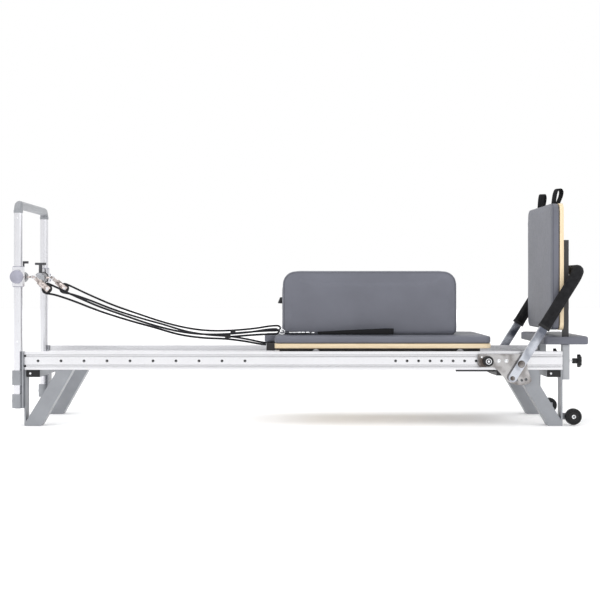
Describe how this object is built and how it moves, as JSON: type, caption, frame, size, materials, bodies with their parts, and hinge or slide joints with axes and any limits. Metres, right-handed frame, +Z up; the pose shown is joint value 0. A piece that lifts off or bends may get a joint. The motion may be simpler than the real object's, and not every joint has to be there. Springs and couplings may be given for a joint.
{
  "type": "pilates reformer",
  "caption": "Pilates reformer with a sliding padded carriage on an aluminium frame, rope risers, a padded footbar, a jump board and a sitting box.",
  "frame": {"origin": "centre of the machine's footprint, on the floor", "axes": "+X from the head end to the foot end, +Y to the far side, +Z up"},
  "size_m": [2.511, 0.804, 1.0424],
  "materials": {
    "anodised_aluminium": "bright satin anodised extrusion",
    "silver_paint": "satin silver-grey powder coat",
    "white_enamel": "smooth pale enamel",
    "chrome": "polished",
    "dark_steel": "black powder-coated steel",
    "black_plastic": "fine-grained moulded plastic",
    "grey_plastic": "fine-grained moulded plastic",
    "black_foam": "closed-cell foam sleeve",
    "grey_vinyl": "upholstery vinyl over foam",
    "birch_ply": "clear-lacquered plywood with light edges",
    "black_webbing": "woven cord and webbing",
    "black_rubber": "moulded tread",
    "white_nylon": "turned nylon"
  },
  "bodies": {
    "frame": {"near_rail": "anodised_aluminium", "far_rail": "anodised_aluminium", "head_cross_tube": "silver_paint", "foot_cross_tube": "silver_paint", "head_near_leg": "silver_paint", "head_far_leg": "silver_paint", "foot_near_leg": "silver_paint", "foot_far_leg": "silver_paint", "near_upright": "silver_paint", "far_upright": "silver_paint", "near_footbar_plate": "chrome", "far_footbar_plate": "chrome", "near_riser_bracket": "silver_paint", "far_riser_bracket": "silver_paint", "near_post": "white_enamel", "far_post": "white_enamel", "riser_top_bar": "silver_paint", "standing_platform": "grey_vinyl", "spring_bar": "dark_steel", "spring_1": "dark_steel", "spring_2": "dark_steel", "spring_3": "dark_steel", "spring_4": "dark_steel"},
    "carriage": {"carriage_frame": "dark_steel", "carriage_board": "birch_ply", "carriage_pad": "grey_vinyl", "headrest": "grey_vinyl", "near_foot_strap": "black_webbing", "far_foot_strap": "black_webbing", "near_rope": "black_webbing", "far_rope": "black_webbing"},
    "sitting_box": {"sitting_box": "grey_vinyl"},
    "jump_board": {"board_wood": "birch_ply", "board_pad": "grey_vinyl", "board_frame": "dark_steel", "near_board_strap": "black_webbing", "far_board_strap": "black_webbing"},
    "footbar": {"near_footbar_arm": "chrome", "far_footbar_arm": "chrome", "footbar_grip": "black_foam"},
    "head_near_carriage_wheel": {"head_near_carriage_wheel": "white_nylon"},
    "head_far_carriage_wheel": {"head_far_carriage_wheel": "white_nylon"},
    "foot_near_carriage_wheel": {"foot_near_carriage_wheel": "white_nylon"},
    "foot_far_carriage_wheel": {"foot_far_carriage_wheel": "white_nylon"},
    "near_transport_wheel": {"near_transport_wheel": "black_rubber"},
    "near_star_knob": {"near_star_knob": "black_plastic"},
    "near_rail_knob": {"near_rail_knob": "black_plastic"},
    "near_slider": {"near_slider": "white_enamel", "near_pulley_hanger": "chrome"},
    "near_clamp_knob": {"near_clamp_knob": "grey_plastic"},
    "near_pull_pin": {"near_pull_pin": "black_plastic"},
    "near_sheave": {"near_sheave": "black_plastic"},
    "far_transport_wheel": {"far_transport_wheel": "black_rubber"},
    "far_star_knob": {"far_star_knob": "black_plastic"},
    "far_rail_knob": {"far_rail_knob": "black_plastic"},
    "far_slider": {"far_slider": "white_enamel", "far_pulley_hanger": "chrome"},
    "far_clamp_knob": {"far_clamp_knob": "grey_plastic"},
    "far_pull_pin": {"far_pull_pin": "black_plastic"},
    "far_sheave": {"far_sheave": "black_plastic"}
  },
  "joints": [
    {"name": "carriage_slide", "type": "slide", "parent": "frame", "child": "carriage", "axis": [-1, 0, 0], "range_m": [0, 0.92], "stiffness_N_per_m": 300, "deforming": ["spring_1", "spring_2", "spring_3", "spring_4", "near_rope", "far_rope"]},
    {"name": "sitting_box_lift", "type": "slide", "parent": "carriage", "child": "sitting_box", "axis": [0, 0, 1], "range_m": [0, 0.3]},
    {"name": "jump_board_lift", "type": "slide", "parent": "frame", "child": "jump_board", "axis": [0, 0, 1], "range_m": [0, 0.11]},
    {"name": "footbar_tilt", "type": "hinge", "parent": "frame", "child": "footbar", "pos_m": [0.955, 0, 0.271], "axis": [0, 1, 0], "range_deg": [0, 57]},
    {"name": "head_near_carriage_wheel_spin", "type": "hinge", "parent": "carriage", "child": "head_near_carriage_wheel", "pos_m": [0.07, -0.3, 0.317], "axis": [0, -1, 0], "range_deg": [0, 3200]},
    {"name": "head_far_carriage_wheel_spin", "type": "hinge", "parent": "carriage", "child": "head_far_carriage_wheel", "pos_m": [0.07, 0.3, 0.317], "axis": [0, -1, 0], "range_deg": [0, 3200]},
    {"name": "foot_near_carriage_wheel_spin", "type": "hinge", "parent": "carriage", "child": "foot_near_carriage_wheel", "pos_m": [0.7, -0.3, 0.317], "axis": [0, -1, 0], "range_deg": [0, 3200]},
    {"name": "foot_far_carriage_wheel_spin", "type": "hinge", "parent": "carriage", "child": "foot_far_carriage_wheel", "pos_m": [0.7, 0.3, 0.317], "axis": [0, -1, 0], "range_deg": [0, 3200]},
    {"name": "near_transport_wheel_spin", "type": "hinge", "parent": "frame", "child": "near_transport_wheel", "pos_m": [1.1925, -0.3105, 0.0385], "axis": [0, 1, 0], "continuous": true},
    {"name": "near_star_knob_turn", "type": "hinge", "parent": "frame", "child": "near_star_knob", "pos_m": [1.2, -0.306, 0.2816], "axis": [1, 0, 0], "continuous": true},
    {"name": "near_rail_knob_turn", "type": "hinge", "parent": "frame", "child": "near_rail_knob", "pos_m": [0.815, -0.369, 0.2823], "axis": [0, 1, 0], "continuous": true},
    {"name": "near_slider_slide", "type": "slide", "parent": "frame", "child": "near_slider", "axis": [0, 0, 1], "range_m": [-0.2, 0.2]},
    {"name": "near_clamp_knob_turn", "type": "hinge", "parent": "near_slider", "child": "near_clamp_knob", "pos_m": [-1.2265, -0.366, 0.648], "axis": [0, 1, 0], "continuous": true},
    {"name": "near_pull_pin_pull", "type": "slide", "parent": "near_slider", "child": "near_pull_pin", "axis": [0, 0, 1], "range_m": [0, 0.01], "stiffness_N_per_m": 800},
    {"name": "near_sheave_spin", "type": "hinge", "parent": "near_slider", "child": "near_sheave", "pos_m": [-1.115, -0.238, 0.597], "axis": [0, 1, 0], "continuous": true},
    {"name": "far_transport_wheel_spin", "type": "hinge", "parent": "frame", "child": "far_transport_wheel", "pos_m": [1.1925, 0.3105, 0.0385], "axis": [0, 1, 0], "continuous": true},
    {"name": "far_star_knob_turn", "type": "hinge", "parent": "frame", "child": "far_star_knob", "pos_m": [1.2, 0.306, 0.2816], "axis": [1, 0, 0], "continuous": true},
    {"name": "far_rail_knob_turn", "type": "hinge", "parent": "frame", "child": "far_rail_knob", "pos_m": [0.815, 0.369, 0.2823], "axis": [0, 1, 0], "continuous": true},
    {"name": "far_slider_slide", "type": "slide", "parent": "frame", "child": "far_slider", "axis": [0, 0, 1], "range_m": [-0.2, 0.2]},
    {"name": "far_clamp_knob_turn", "type": "hinge", "parent": "far_slider", "child": "far_clamp_knob", "pos_m": [-1.2265, 0.366, 0.648], "axis": [0, 1, 0], "continuous": true},
    {"name": "far_pull_pin_pull", "type": "slide", "parent": "far_slider", "child": "far_pull_pin", "axis": [0, 0, 1], "range_m": [0, 0.01], "stiffness_N_per_m": 800},
    {"name": "far_sheave_spin", "type": "hinge", "parent": "far_slider", "child": "far_sheave", "pos_m": [-1.115, 0.238, 0.597], "axis": [0, 1, 0], "continuous": true}
  ],
  "couplings": [
    {"joint": "head_near_carriage_wheel_spin", "follows": "carriage_slide", "rad_per_m": 60.606},
    {"joint": "head_far_carriage_wheel_spin", "follows": "carriage_slide", "rad_per_m": 60.606},
    {"joint": "foot_near_carriage_wheel_spin", "follows": "carriage_slide", "rad_per_m": 60.606},
    {"joint": "foot_far_carriage_wheel_spin", "follows": "carriage_slide", "rad_per_m": 60.606}
  ]
}
